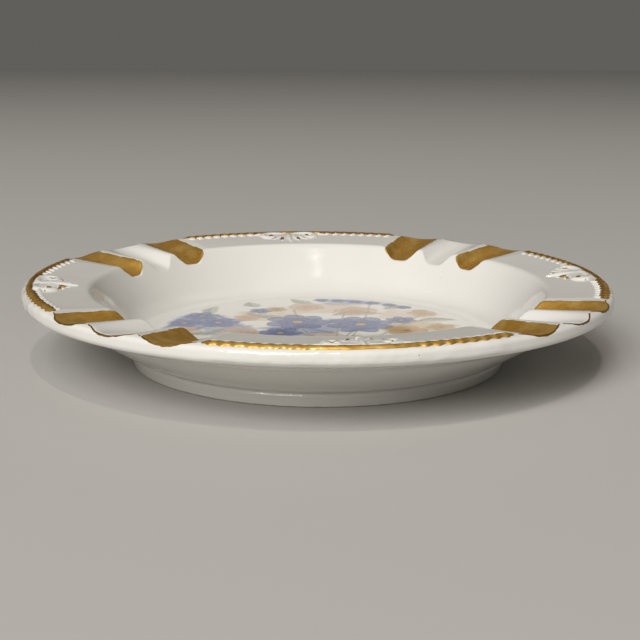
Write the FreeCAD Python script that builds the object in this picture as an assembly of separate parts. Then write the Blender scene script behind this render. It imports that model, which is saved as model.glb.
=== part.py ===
import FreeCAD, Part
import math
import os

# A round porcelain souvenir plate, 190 mm across, standing on its foot ring.
# The origin is the centre of the foot ring's resting face, +Z is up.
# The rim has four groups of three radial flutes on the diagonals, and four
# plain panels between them on the axes. Each panel carries a relief crest
# with a row of slanted beads on both sides. The two outer flutes of each
# group are lined with gold, and gold follows the edge of the rim.

# ---- driving dimensions, in millimetres and degrees ----
LIP_R = 95.0            # outermost radius, at the swell of the lip
EDGE_R = 92.4           # corner where the rim turns down into the lip
EDGE_Z = 25.9
CAVETTO_R = 73.8        # corner between the rim and the cavetto
CAVETTO_Z = 24.4
FLOOR_R = 61.5          # foot of the cavetto wall
FLOOR_Z = 7.4           # top face of the well floor
LIP_TOP_Z = 25.0
LIP_BOTTOM_Z = 21.2
SWEEP_R = 82.0          # bend of the underside below the rim
SWEEP_Z = 16.8
CREASE_R = 64.0         # crease where the body meets the foot ring
CREASE_Z = 5.4
RECESS_R = 55.8         # flat underside within the foot ring
RECESS_Z = 3.4
FOOT_NECK_R = 61.6      # cove between the crease and the foot's swell
FOOT_NECK_Z = 4.4
FOOT_SWELL_R = 62.0
FOOT_SWELL_Z = 3.5
FOOT_OUTER_R = 60.9     # resting face of the foot ring
FOOT_INNER_R = 56.6

FLUTE_PITCH = 11.8      # angle from one flute to the next
TROUGH_INNER_Z = 20.5   # bottom of a flute under the rim's inner corner
TROUGH_OUTER_Z = 24.4   # bottom of a flute under the rim's outer corner
FLUTE_OUTER_WIDTH = 17.2
FLUTE_INNER_WIDTH = 13.2
CUTTER_REACH = 38.0     # length of a flute cutter along the trough
GROUP_ANGLES = {"front_right": -45.0, "back_right": 45.0, "back_left": 135.0, "front_left": -135.0}
PANEL_ANGLES = {"front": -90.0, "right": 0.0, "back": 90.0, "left": 180.0}
PANEL_HALF_ANGLE = 26.6

GILT = 0.22             # thickness of every gold layer
EDGE_LINE_WIDTH = 0.8
BAND_INNER_R = 91.8
BAND_BOTTOM_Z = 25.2
SKIN_INNER_R = 84.0     # where the skin that the gold is cut from begins
SECTOR_SPARE = 1.0      # how far a sector reaches past the lip
TRANSFER_R = 55.0
TRANSFER_THICKNESS = 0.2

BEAD_R = 90.2
BEAD_LENGTH = 3.8
BEAD_HALF_WIDTH = 1.0
BEAD_SINK = 0.3         # depth of a bead's centre line under the rim
BEAD_SLANT = 38.0
BEAD_FIRST_ANGLE = 9.8
BEAD_STEP = 2.2
BEADS_PER_SIDE = 8

CREST_R = 86.0          # the crest's own centre, on the rim slope
CREST_SINK = 0.3
LEAF_LENGTH = 14.0
LEAF_HALF_WIDTH = 2.3
LEAF_SHIFT = 2.6        # how far the leaf's middle lies inward of the crest's
SCROLL_R = 3.4
SCROLL_THICKNESS = 1.2
SCROLL_OFFSET = 6.4
SCROLL_OUT = 0.4
SCROLL_TURN = 125.0     # half the angle that a scroll goes round
EYE_R = 1.7
EYE_REACH = 2.9         # from a scroll's middle to each of its eyes
SIDE_LEAF_LENGTH = 7.5
SIDE_LEAF_HALF_WIDTH = 1.4
SIDE_LEAF_TURN = 62.0
SIDE_LEAF_OFFSET = 10.6
SIDE_LEAF_OUT = 2.0

UP = FreeCAD.Vector(0, 0, 1)
CENTRE = FreeCAD.Vector(0, 0, 0)
RIM_SLOPE = math.degrees(math.atan2(EDGE_Z - CAVETTO_Z, EDGE_R - CAVETTO_R))
TROUGH_SLOPE = math.degrees(math.atan2(TROUGH_OUTER_Z - TROUGH_INNER_Z, EDGE_R - CAVETTO_R))


def rounded_face(corners):
    """A face in the XZ plane from (radius, height, rounding) corners."""
    count = len(corners)
    points = [FreeCAD.Vector(r, 0, z) for r, z, rounding in corners]
    edges = []
    starts = []
    ends = []
    for i in range(count):
        corner = points[i]
        back = (points[i - 1] - corner).normalize()
        ahead = (points[(i + 1) % count] - corner).normalize()
        rounding = corners[i][2]
        if rounding == 0:
            starts.append(corner)
            ends.append(corner)
            continue
        half = back.getAngle(ahead) / 2
        reach = rounding / math.tan(half)
        middle = (back + ahead).normalize() * (rounding / math.sin(half) - rounding)
        starts.append(corner + back * reach)
        ends.append(corner + ahead * reach)
        edges.append(Part.Arc(starts[i], corner + middle, ends[i]).toShape())
    for i in range(count):
        edges.append(Part.makeLine(ends[i], starts[(i + 1) % count]))
    return Part.Face(Part.Wire(Part.__sortEdges__(edges)))


def turned(corners, angle=360.0):
    """The solid that a rounded section sweeps about the plate's axis."""
    return rounded_face(corners).revolve(CENTRE, UP, angle)


def turned_about_z(shape, angle):
    """A copy of a shape, turned about the plate's axis."""
    copy = shape.copy()
    copy.rotate(CENTRE, UP, angle)
    return copy


def on_rim(shape, radius, angle):
    """Stand a shape, built flat on z = 0 with +X outward, on the rim slope."""
    height = CAVETTO_Z + (radius - CAVETTO_R) * math.tan(math.radians(RIM_SLOPE))
    copy = shape.copy()
    copy.rotate(CENTRE, FreeCAD.Vector(0, -1, 0), RIM_SLOPE)
    copy.translate(FreeCAD.Vector(radius, 0, height))
    copy.rotate(CENTRE, UP, angle)
    return copy


def spindle(length, half_width):
    """A grain-shaped solid along X: an arc turned about its own chord."""
    tip = FreeCAD.Vector(length / 2, 0, 0)
    tail = FreeCAD.Vector(-length / 2, 0, 0)
    arc = Part.Arc(tail, FreeCAD.Vector(0, 0, half_width), tip).toShape()
    chord = Part.makeLine(tip, tail)
    face = Part.Face(Part.Wire([arc, chord]))
    return face.revolve(CENTRE, FreeCAD.Vector(1, 0, 0), 360)


# ---- porcelain ----
LIP_CORNERS = [
    (EDGE_R, EDGE_Z, 0.6),
    (LIP_R, LIP_TOP_Z, 1.6),
    (LIP_R, LIP_BOTTOM_Z, 1.6),
]


def make_blank():
    """The plate's body of revolution, before its flutes are pressed."""
    return turned([
        (0, FLOOR_Z, 0),
        (FLOOR_R, FLOOR_Z, 11.5),
        (CAVETTO_R, CAVETTO_Z, 3.0),
        *LIP_CORNERS,
        (SWEEP_R, SWEEP_Z, 16.0),
        (CREASE_R, CREASE_Z, 0),
        (RECESS_R, RECESS_Z, 0),
        (0, RECESS_Z, 0),
    ])


def make_foot_ring():
    """The flared ring that the plate stands on, joined along its top cone."""
    return turned([
        (CREASE_R, CREASE_Z, 0),
        (FOOT_NECK_R, FOOT_NECK_Z, 0.5),
        (FOOT_SWELL_R, FOOT_SWELL_Z, 0.4),
        (FOOT_OUTER_R, 0, 0.5),
        (FOOT_INNER_R, 0, 0.7),
        (RECESS_R, RECESS_Z, 0),
    ])


def over_trough(r, z):
    """Distance along a flute's trough, and height over it, of a point."""
    slope = math.radians(TROUGH_SLOPE)
    out = r - CAVETTO_R
    up = z - TROUGH_INNER_Z
    return out * math.cos(slope) + up * math.sin(slope), up * math.cos(slope) - out * math.sin(slope)


def flute_cutter(lift):
    """A cone whose lowest line is a flute's trough, raised by lift.

    At a height h over that line, and a distance x from the cone's point, the
    cone's half width squared is 2 x h t - h h (1 - t t), where t is the
    tangent of its half angle. The flute's widths at the rim's two corners
    give t and the place of the point.
    """
    inner_x, inner_h = over_trough(CAVETTO_R, CAVETTO_Z)
    outer_x, outer_h = over_trough(EDGE_R, EDGE_Z)
    run = outer_x - inner_x
    inner = (FLUTE_INNER_WIDTH / 2) ** 2
    outer = (FLUTE_OUTER_WIDTH / 2) ** 2
    widening = outer / (2 * outer_h) - inner / (2 * inner_h)
    fall = (inner_h - outer_h) / 2
    tangent = (run - math.sqrt(run ** 2 - 4 * fall * (widening - fall))) / (2 * fall)
    start = inner_x - (inner + inner_h ** 2 * (1 - tangent ** 2)) / (2 * inner_h * tangent)
    half_angle = math.atan(tangent)
    length = CUTTER_REACH * math.cos(half_angle)
    axis = FreeCAD.Vector(math.cos(half_angle), 0, math.sin(half_angle))
    cone = Part.makeCone(0, length * tangent, length, FreeCAD.Vector(start, 0, lift), axis)
    cone.rotate(CENTRE, FreeCAD.Vector(0, -1, 0), TROUGH_SLOPE)
    cone.translate(FreeCAD.Vector(CAVETTO_R, 0, TROUGH_INNER_Z))
    return cone


def flute_angles(group_angle):
    """The directions of a group's left, middle and right flutes."""
    return [group_angle + FLUTE_PITCH, group_angle, group_angle - FLUTE_PITCH]


# ---- gilding ----
def make_gilt_skin():
    """A ring of gold thickness that stands proud of the whole lip."""
    top_z = CAVETTO_Z + (SKIN_INNER_R - CAVETTO_R) * math.tan(math.radians(RIM_SLOPE))
    section = rounded_face([(SKIN_INNER_R, top_z, 0), *LIP_CORNERS, (SKIN_INNER_R, LIP_BOTTOM_Z, 0)])
    swollen = section.makeOffset2D(GILT).revolve(CENTRE, UP, 360)
    return swollen.cut(section.revolve(CENTRE, UP, 360))


def sector(inner_r, bottom_z, angle, half_angle):
    """A block between two directions, from inside the lip to past it."""
    outer_r = LIP_R + SECTOR_SPARE
    top_z = EDGE_Z + SECTOR_SPARE
    block = turned([
        (inner_r, bottom_z, 0),
        (outer_r, bottom_z, 0),
        (outer_r, top_z, 0),
        (inner_r, top_z, 0),
    ], 2 * half_angle)
    return turned_about_z(block, angle - half_angle)


# ---- relief ----
def make_beads():
    """One panel's row of slanted beads, mirrored about the panel's centre."""
    beads = []
    for side in (1, -1):
        for i in range(BEADS_PER_SIDE):
            bead = spindle(BEAD_LENGTH, BEAD_HALF_WIDTH)
            bead.rotate(CENTRE, UP, side * BEAD_SLANT)
            bead.translate(UP * -BEAD_SINK)
            beads.append(on_rim(bead, BEAD_R, side * (BEAD_FIRST_ANGLE + i * BEAD_STEP)))
    return beads


def make_crest():
    """A leaf that points inward between two C-scrolls and two side leaves."""
    pieces = [spindle(LEAF_LENGTH, LEAF_HALF_WIDTH)]
    pieces[0].translate(FreeCAD.Vector(-LEAF_SHIFT, 0, 0))
    for side in (1, -1):
        middle = FreeCAD.Vector(SCROLL_OUT, side * SCROLL_OFFSET, 0)
        scroll = Part.makeTorus(SCROLL_R, SCROLL_THICKNESS, CENTRE, UP, 0, 360, 2 * SCROLL_TURN)
        scroll.rotate(CENTRE, UP, side * 90 - SCROLL_TURN)
        scroll.translate(middle)
        pieces.append(scroll)
        for end in (-SCROLL_TURN, SCROLL_TURN):
            direction = math.radians(end + side * 90)
            out = FreeCAD.Vector(math.cos(direction), math.sin(direction), 0)
            eye = Part.makeSphere(EYE_R)
            eye.translate(middle + out * EYE_REACH)
            pieces.append(eye)
        side_leaf = spindle(SIDE_LEAF_LENGTH, SIDE_LEAF_HALF_WIDTH)
        side_leaf.rotate(CENTRE, UP, side * SIDE_LEAF_TURN)
        side_leaf.translate(FreeCAD.Vector(SIDE_LEAF_OUT, side * SIDE_LEAF_OFFSET, 0))
        pieces.append(side_leaf)
    crest = pieces[0].multiFuse(pieces[1:])
    crest.translate(UP * -CREST_SINK)
    return on_rim(crest, CREST_R, 0)


# ---- the assembly ----
def main():
    nodes = {}
    blank = make_blank()
    deep_cutter = flute_cutter(0)
    gilt_cutter = flute_cutter(GILT)
    line_cutter = flute_cutter(-EDGE_LINE_WIDTH)
    gilt_skin = make_gilt_skin()

    nodes["foot_ring"] = make_foot_ring()
    transfer = Part.makeCylinder(TRANSFER_R, TRANSFER_THICKNESS)
    transfer.translate(FreeCAD.Vector(0, 0, FLOOR_Z))
    nodes["picture_transfer"] = transfer

    pressed = []
    for name, group_angle in GROUP_ANGLES.items():
        left, middle, right = flute_angles(group_angle)
        for side, angle in (("left", left), ("right", right)):
            cutter = turned_about_z(deep_cutter, angle)
            surface = turned_about_z(gilt_cutter, angle)
            pressed.append(cutter)
            nodes["gilt_flute_" + name + "_" + side] = blank.common(cutter).cut(surface)
        pressed.append(turned_about_z(gilt_cutter, middle))
        group = pressed[-3:]
        lines = [turned_about_z(line_cutter, angle) for angle in (left, middle, right)]
        half_angle = 1.5 * FLUTE_PITCH
        reach = sector(EDGE_R, LIP_BOTTOM_Z, group_angle, half_angle)
        strip = gilt_skin.common(reach).common(lines[0].multiFuse(lines[1:]))
        nodes["gilt_edge_line_" + name] = strip.cut(group)
    nodes["plate_body"] = blank.cut(pressed)

    crest = make_crest().cut(blank)
    beads = [bead.cut(blank) for bead in make_beads()]
    for name, angle in PANEL_ANGLES.items():
        nodes["crest_" + name] = turned_about_z(crest, angle)
        nodes["bead_border_" + name] = Part.Compound([turned_about_z(bead, angle) for bead in beads])
        reach = sector(BAND_INNER_R, BAND_BOTTOM_Z, angle, PANEL_HALF_ANGLE)
        nodes["gilt_band_" + name] = gilt_skin.common(reach)

    os.makedirs("parts", exist_ok=True)
    for name, shape in nodes.items():
        shape.exportStep("parts/" + name + ".step")
        print(name, "solids", len(shape.Solids), "volume", round(shape.Volume, 2), shape.isValid())


main()
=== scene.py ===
import math

import bpy
import numpy as np
from mathutils import Matrix, Vector


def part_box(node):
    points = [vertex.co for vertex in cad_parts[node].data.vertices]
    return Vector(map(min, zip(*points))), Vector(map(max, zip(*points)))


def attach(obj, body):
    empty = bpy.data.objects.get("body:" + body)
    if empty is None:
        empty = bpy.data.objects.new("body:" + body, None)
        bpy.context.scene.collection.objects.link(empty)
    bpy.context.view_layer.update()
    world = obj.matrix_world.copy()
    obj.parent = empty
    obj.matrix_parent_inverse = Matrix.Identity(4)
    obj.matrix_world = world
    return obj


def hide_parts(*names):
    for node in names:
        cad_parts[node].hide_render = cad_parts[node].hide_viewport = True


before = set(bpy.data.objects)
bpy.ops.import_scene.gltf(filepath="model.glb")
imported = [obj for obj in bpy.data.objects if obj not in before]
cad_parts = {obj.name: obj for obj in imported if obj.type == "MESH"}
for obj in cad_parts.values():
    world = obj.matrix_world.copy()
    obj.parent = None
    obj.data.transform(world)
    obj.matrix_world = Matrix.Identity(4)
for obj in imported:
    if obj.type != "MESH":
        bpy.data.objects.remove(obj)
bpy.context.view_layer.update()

# A glazed porcelain souvenir plate. Lengths are in millimetres up to the
# moment a mesh is made, and angles are in degrees from +X, about +Z.
MM = 0.001

# ---- places taken from the frame ----
BODY_LOW, BODY_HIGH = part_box("plate_body")
FOOT_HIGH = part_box("foot_ring")[1]
PRINT_LOW, PRINT_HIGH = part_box("picture_transfer")
LIP_R = BODY_HIGH.x / MM
EDGE_Z = BODY_HIGH.z / MM
CREASE_R = FOOT_HIGH.x / MM
CREASE_Z = FOOT_HIGH.z / MM
RECESS_Z = BODY_LOW.z / MM
FLOOR_Z = PRINT_LOW.z / MM
PRINT_R = PRINT_HIGH.x / MM

# ---- the section, from those places inward ----
EDGE_R = LIP_R - 2.6
CAVETTO_R = LIP_R - 21.2
CAVETTO_Z = EDGE_Z - 1.5
FLOOR_R = CAVETTO_R - 12.3
LIP_TOP_Z = EDGE_Z - 0.9
LIP_BOTTOM_Z = EDGE_Z - 4.7
SWEEP_R = LIP_R - 13.0
SWEEP_Z = EDGE_Z - 9.1
RECESS_R = CREASE_R - 8.2
FOOT_NECK_R = CREASE_R - 2.4
FOOT_NECK_Z = CREASE_Z - 1.0
FOOT_SWELL_R = CREASE_R - 2.0
FOOT_SWELL_Z = CREASE_Z - 1.9
FOOT_OUTER_R = CREASE_R - 3.1
FOOT_INNER_R = RECESS_R + 0.8
PROFILE_STEP = 0.1
ARC_STEPS = 24  # points on each rounded corner, before respacing
TANGENT_STEP = 0.1  # to both sides, where a surface direction is taken
RIM_RISE = (EDGE_Z - CAVETTO_Z) / (EDGE_R - CAVETTO_R)

# ---- flutes ----
FLUTE_PITCH = 11.8
TROUGH_INNER_Z = CAVETTO_Z - 3.9
TROUGH_RISE = (EDGE_Z - 1.5 - TROUGH_INNER_Z) / (EDGE_R - CAVETTO_R)
RIDGE_ROUNDING = 0.22
RIDGE_SHARPNESS = 2.3  # at the cavetto
RIDGE_BROADENING = 1.1  # the loss of sharpness up to the lip
GROUP_END_RISE = 6.0  # of the pressed shape past a group
FLUTE_EASE = 4.0  # length over which the pressing sets in
GROUP_ANGLES = {"front_right": -45.0, "back_right": 45.0, "back_left": 135.0, "front_left": -135.0}
PANEL_ANGLES = {"front": -90.0, "right": 0.0, "back": 90.0, "left": 180.0}
PANEL_HALF = 45.0 - 1.5 * FLUTE_PITCH


# ---- geometry ----
def rounded_path(corners):
    """Points along an open path through (r, z, rounding) corners."""
    pts = [np.array(c[:2], float) for c in corners]
    line = [pts[0]]
    for i in range(1, len(corners) - 1):
        back = pts[i - 1] - pts[i]
        ahead = pts[i + 1] - pts[i]
        back /= np.linalg.norm(back)
        ahead /= np.linalg.norm(ahead)
        rounding = corners[i][2]
        if rounding == 0:
            line.append(pts[i])
            continue
        half = math.acos(float(np.clip(back @ ahead, -1, 1))) / 2
        bisector = (back + ahead) / np.linalg.norm(back + ahead)
        centre = pts[i] + bisector * rounding / math.sin(half)
        side = pts[i] + back * rounding / math.tan(half) - centre
        turn = math.pi - 2 * half
        sign = 1.0 if back[0] * ahead[1] - back[1] * ahead[0] < 0 else -1.0
        for t in np.linspace(0, 1, ARC_STEPS):
            c, s = math.cos(sign * turn * t), math.sin(sign * turn * t)
            line.append(centre + np.array([c * side[0] - s * side[1], s * side[0] + c * side[1]]))
    line.append(pts[-1])
    line = np.array(line)
    run = np.concatenate([[0], np.cumsum(np.linalg.norm(np.diff(line, axis=0), axis=1))])
    at = np.linspace(0, run[-1], int(run[-1] / PROFILE_STEP) + 1)
    return np.stack([np.interp(at, run, line[:, 0]), np.interp(at, run, line[:, 1])], 1)


SECTION = rounded_path([
    (0, FLOOR_Z, 0),
    (FLOOR_R, FLOOR_Z, 11.5),
    (CAVETTO_R, CAVETTO_Z, 3.0),
    (EDGE_R, EDGE_Z, 0.6),
    (LIP_R, LIP_TOP_Z, 1.6),
    (LIP_R, LIP_BOTTOM_Z, 1.6),
    (SWEEP_R, SWEEP_Z, 16.0),
    (CREASE_R, CREASE_Z, 0.3),
    (RECESS_R, RECESS_Z, 0.4),
    (0, RECESS_Z, 0),
])
BULGE = int(np.argmax(SECTION[:, 0]))
RIM_CORNER = int(np.argmin(np.hypot(SECTION[:, 0] - CAVETTO_R, SECTION[:, 1] - CAVETTO_Z)))
EDGE_CORNER = int(np.argmin(np.hypot(SECTION[:, 0] - EDGE_R, SECTION[:, 1] - EDGE_Z)))


def rim_line(r):
    """Height of the straight rim slope, carried on past both its ends."""
    return CAVETTO_Z + (r - CAVETTO_R) * RIM_RISE


def across_flute(angle):
    """Where a direction lies in its flute: 0 in the middle, 1 on the ridges."""
    from_group = np.asarray(angle, float) % 90.0 - 45.0
    middles = np.clip(np.round(from_group / FLUTE_PITCH), -1, 1) * FLUTE_PITCH
    return np.abs(from_group - middles) / (FLUTE_PITCH / 2)


def flute_wave(u, r):
    """0 in a flute's middle, 1 on its ridges, and more outside the group.

    The ridges are narrow at the cavetto and broaden towards the lip.
    """
    out = np.clip((r - CAVETTO_R) / (EDGE_R - CAVETTO_R), 0, 1)
    inside = ((1 - np.cos(math.pi * np.minimum(u, 1))) / 2) ** (RIDGE_SHARPNESS - RIDGE_BROADENING * out)
    return inside + GROUP_END_RISE * np.maximum(u - 1, 0) ** 2


def flute_surface(r, angle):
    """Height of the pressed flutes, which rises above the rim outside them."""
    bottom = TROUGH_INNER_Z + (r - CAVETTO_R) * TROUGH_RISE
    return bottom + (rim_line(r) - bottom) * flute_wave(across_flute(angle), r)


def soft_min(a, b, k):
    """The smaller of two heights, with a rounded edge where they cross."""
    gap = np.abs(b - a) / k
    return np.minimum(a, b) - k * np.log1p(np.exp(-np.minimum(gap, 40)))


def crossing(run, depth, i, j):
    """The run between points i and j at which the depth is 0."""
    return run[i] + depth[i] / (depth[i] - depth[j]) * (run[j] - run[i])


def columns(angle):
    """Sections of the plate at given directions: r, z, run and three corners.

    angle is one row per column, either a single direction or one per section
    point. The corners are the runs where the flute leaves the cavetto wall,
    where it meets the lip, and at the widest point of the lip. On a panel
    they are the rim's own corners.
    """
    count = angle.shape[0]
    r = np.repeat(SECTION[:, 0][None, :], count, 0)
    angle = np.broadcast_to(angle, r.shape)
    blank = np.repeat(SECTION[:, 1][None, :], count, 0)
    flutes = flute_surface(r, angle)
    z = blank.copy()
    top = np.arange(SECTION.shape[0]) <= BULGE
    fluted = top[None, :] & (r > FLOOR_R)
    ease = np.clip((r - FLOOR_R) / FLUTE_EASE, 0, 1)
    z[fluted] = (blank + ease * (soft_min(blank, flutes, RIDGE_ROUNDING) - blank))[fluted]
    steps = np.hypot(np.diff(r, axis=1), np.diff(z, axis=1))
    run = np.concatenate([np.zeros((count, 1)), np.cumsum(steps, axis=1)], axis=1)
    inner = np.zeros(count)
    edge = np.zeros(count)
    for c in range(count):
        depth = blank[c, :BULGE] - flutes[c, :BULGE]
        depth[:RIM_CORNER // 2] = -1
        pressed = np.nonzero(depth > 0)[0]
        inner[c] = run[c, RIM_CORNER]
        edge[c] = run[c, EDGE_CORNER]
        if len(pressed) == 0 or across_flute(angle[c, EDGE_CORNER]) > 1:
            continue
        first, last = pressed[0], pressed[-1]
        inner[c] = min(crossing(run[c], depth, first, first - 1), inner[c])
        if last + 1 < BULGE:
            edge[c] = max(crossing(run[c], depth, last, last + 1), edge[c])
    return {"angle": angle, "r": r, "z": z, "run": run,
            "inner": inner, "edge": edge, "bulge": run[:, BULGE]}


def points_at(cols, runs, lift=0.0):
    """Points of the columns at given runs, moved off the surface by lift."""
    count = runs.shape[0]
    lift = np.broadcast_to(lift, runs.shape)
    out = np.zeros(runs.shape + (3,))
    for c in range(count):
        def at(key, where):
            return np.interp(where, cols["run"][c], cols[key][c])

        r, z = at("r", runs[c]), at("z", runs[c])
        turn = np.radians(at("angle", runs[c]))
        ahead, behind = runs[c] + TANGENT_STEP, runs[c] - TANGENT_STEP
        dr = at("r", ahead) - at("r", behind)
        dz = at("z", ahead) - at("z", behind)
        length = np.maximum(np.hypot(dr, dz), 1e-9)
        r = r - dz / length * lift[c]
        z = z + dr / length * lift[c]
        out[c] = np.stack([r * np.cos(turn), r * np.sin(turn), z], 1)
    return out


def ripple(x, seed):
    """A smooth, repeatable wander between about -1 and 1."""
    x = np.asarray(x, float)
    total = np.zeros_like(x)
    for k, size in enumerate((1.0, 0.6, 0.4)):
        total += size * np.sin(x * (1.0 + 1.37 * k) + seed * (2.1 + 0.7 * k))
    return total / 1.6


# ---- meshes ----
def new_object(name, data):
    """An object in the scene, around a mesh, a light or a camera."""
    made = bpy.data.objects.new(name, data)
    bpy.context.scene.collection.objects.link(made)
    return made


def mesh_object(name, vertices, faces):
    """A smoothly shaded object from points in millimetres."""
    mesh = bpy.data.meshes.new(name)
    mesh.from_pydata((np.asarray(vertices) * MM).tolist(), [], faces)
    mesh.update()
    mesh.validate()
    mesh.polygons.foreach_set("use_smooth", [True] * len(mesh.polygons))
    return new_object(name, mesh)


def paint(piece, layer, values):
    """Store one number or one colour per vertex under a name."""
    values = np.asarray(values, np.float32)
    if values.ndim == 1:
        attribute = piece.data.attributes.new(layer, "FLOAT", "POINT")
        attribute.data.foreach_set("value", values)
        return
    attribute = piece.data.attributes.new(layer, "FLOAT_COLOR", "POINT")
    rgba = np.concatenate([values, np.ones((len(values), 1), np.float32)], 1)
    attribute.data.foreach_set("color", rgba.ravel())


def place(piece, material, nodes):
    """Give a piece its material, body, slot and the nodes it stands for."""
    piece.data.materials.append(material)
    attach(piece, "root")
    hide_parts(*nodes)
    return piece


def grid_faces(rows, cols, offset=0, flip=False):
    """Quads of a rows by cols grid of points, stored row after row."""
    faces = []
    for i in range(rows - 1):
        for j in range(cols - 1):
            a = offset + i * cols + j
            quad = (a, a + 1, a + cols + 1, a + cols)
            faces.append(quad[::-1] if flip else quad)
    return faces


def tube_faces(rings, around, base=0):
    """Quads between rings of points, each ring closed on itself."""
    faces = []
    for i in range(rings - 1):
        a, b = base + i * around, base + (i + 1) * around
        faces += [(a + j, b + j, b + (j + 1) % around, a + (j + 1) % around) for j in range(around)]
    return faces


def shell_parts(top, bottom):
    """Points and quads of a closed thin shell between two equal grids."""
    rows, cols = top.shape[:2]
    count = rows * cols
    vertices = np.concatenate([top.reshape(-1, 3), bottom.reshape(-1, 3)])
    faces = grid_faces(rows, cols) + grid_faces(rows, cols, count, True)
    border = list(range(cols))
    border += [i * cols + cols - 1 for i in range(1, rows)]
    border += [(rows - 1) * cols + j for j in range(cols - 2, -1, -1)]
    border += [i * cols for i in range(rows - 2, 0, -1)]
    for k in range(len(border)):
        a, b = border[k], border[(k + 1) % len(border)]
        faces.append((b, a, a + count, b + count))
    return vertices, faces


def shell(name, top, bottom):
    """An object that is one closed thin shell."""
    return mesh_object(name, *shell_parts(top, bottom))


def both(values):
    """A grid's values, once for a shell's top and once for its bottom."""
    return np.concatenate([values.ravel()] * 2)


# ---- materials ----
GLAZE_IOR = 1.52
GOLD_IOR = 1.5


class Nodes:
    """A short way to write a node tree around one shader."""

    def __init__(self, name, ior=GLAZE_IOR):
        self.material = bpy.data.materials.new(name)
        self.material.use_nodes = True
        self.tree = self.material.node_tree
        self.shader = self.tree.nodes["Principled BSDF"]
        self.shader.inputs["IOR"].default_value = ior
        self.where = self.tree.nodes.new("ShaderNodeTexCoord").outputs["Object"]

    def feed(self, socket, value):
        """Set a socket to a number or a colour, or link another one to it."""
        if isinstance(value, (int, float)):
            socket.default_value = value
        elif isinstance(value, tuple):
            socket.default_value = value + (1.0,)
        else:
            self.tree.links.new(value, socket)

    def add(self, kind, inputs, **settings):
        """A new node with some of its settings and inputs given."""
        node = self.tree.nodes.new(kind)
        for key, value in settings.items():
            setattr(node, key, value)
        for key, value in inputs.items():
            self.feed(node.inputs[key], value)
        return node

    def attribute(self, name, output="Fac"):
        return self.add("ShaderNodeAttribute", {}, attribute_name=name).outputs[output]

    def noise(self, scale, detail=3.0, rough=0.5, vector=None):
        inputs = {"Scale": scale, "Detail": detail, "Roughness": rough, "Vector": vector or self.where}
        return self.add("ShaderNodeTexNoise", inputs).outputs["Fac"]

    def ramp(self, value, low, high, to_low=0.0, to_high=1.0):
        inputs = {"From Min": low, "From Max": high, "To Min": to_low, "To Max": to_high, "Value": value}
        return self.add("ShaderNodeMapRange", inputs).outputs["Result"]

    def math(self, kind, a, b):
        return self.add("ShaderNodeMath", {0: a, 1: b}, operation=kind).outputs[0]

    def blend(self, factor, a, b):
        """Mix two colours."""
        return self.add("ShaderNodeMix", {0: factor, 6: a, 7: b}, data_type="RGBA").outputs[2]

    def mix(self, factor, a, b):
        """Mix two numbers."""
        return self.add("ShaderNodeMix", {0: factor, 2: a, 3: b}).outputs[0]

    def bump(self, height, strength, distance, normal=None):
        inputs = {"Strength": strength, "Distance": distance, "Height": height}
        if normal:
            inputs["Normal"] = normal
        return self.add("ShaderNodeBump", inputs).outputs["Normal"]

    def finish(self, colour, rough, normal, metal=None):
        self.feed(self.shader.inputs["Base Color"], colour)
        self.feed(self.shader.inputs["Roughness"], rough)
        self.feed(self.shader.inputs["Normal"], normal)
        if metal is not None:
            self.feed(self.shader.inputs["Metallic"], metal)
        return self.material


GLAZE = (0.835, 0.82, 0.765)
GLAZE_COOL = (0.80, 0.79, 0.755)
SPECK = (0.45, 0.38, 0.30)
BISCUIT = (0.66, 0.60, 0.50)
BISCUIT_DARK = (0.50, 0.44, 0.36)
GOLD = (0.76, 0.44, 0.085)
GOLD_PALE = (0.82, 0.56, 0.17)
GOLD_DARK = (0.50, 0.26, 0.035)
# painted shade: the dark brown that stands in for shade and dark reflections on the gold
GOLD_PAINTED_SHADE = (0.20, 0.095, 0.015)
GOLD_METAL = 0.8
WORN_AT = 1.02  # how thin gold has to be for the glaze to show
PRINT_SPECULAR = 0.2
CLAY_ROUGH = 0.75


def glaze_colour(n):
    """Warm white glaze that cools a little where it is thicker, with specks."""
    drift = n.ramp(n.noise(22.0, 2.0), 0.35, 0.65)
    colour = n.blend(drift, GLAZE, GLAZE_COOL)
    speck = n.ramp(n.noise(950.0, 1.0), 0.80, 0.84)
    return n.blend(speck, colour, SPECK)


def glaze_rough(n):
    """A gloss that is a little uneven."""
    return n.ramp(n.noise(60.0, 3.0), 0.3, 0.7, 0.07, 0.13)


def glaze_normal(n):
    """The slow waviness of a moulded, dipped surface."""
    wave = n.bump(n.noise(70.0, 1.0), 0.35, 0.0004)
    return n.bump(n.noise(420.0, 2.0), 0.10, 0.0001, wave)


def make_porcelain():
    """Glaze that lies in soft lumps along the lip, where it ran and pooled."""
    n = Nodes("porcelain_glaze")
    lumps = n.math("MULTIPLY", n.noise(190.0, 1.0), n.attribute("pooled"))
    normal = n.bump(lumps, 1.0, 0.0005, glaze_normal(n))
    return n.finish(glaze_colour(n), glaze_rough(n), normal)


def gold_colour(n, streaks, cloud):
    """Brushed gold: pale where it is burnished, and painted darker brown as shade where a layer asks for
    it.
    """
    colour = n.blend(n.ramp(streaks, 0.3, 0.7), GOLD_DARK, GOLD)
    colour = n.blend(n.ramp(cloud, 0.45, 0.75), colour, GOLD_PALE)
    # painted shade: blends the gold towards dark brown, standing in for shade and the dark room it
    # reflects
    return n.blend(n.attribute("deep"), colour, GOLD_PAINTED_SHADE)


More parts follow.
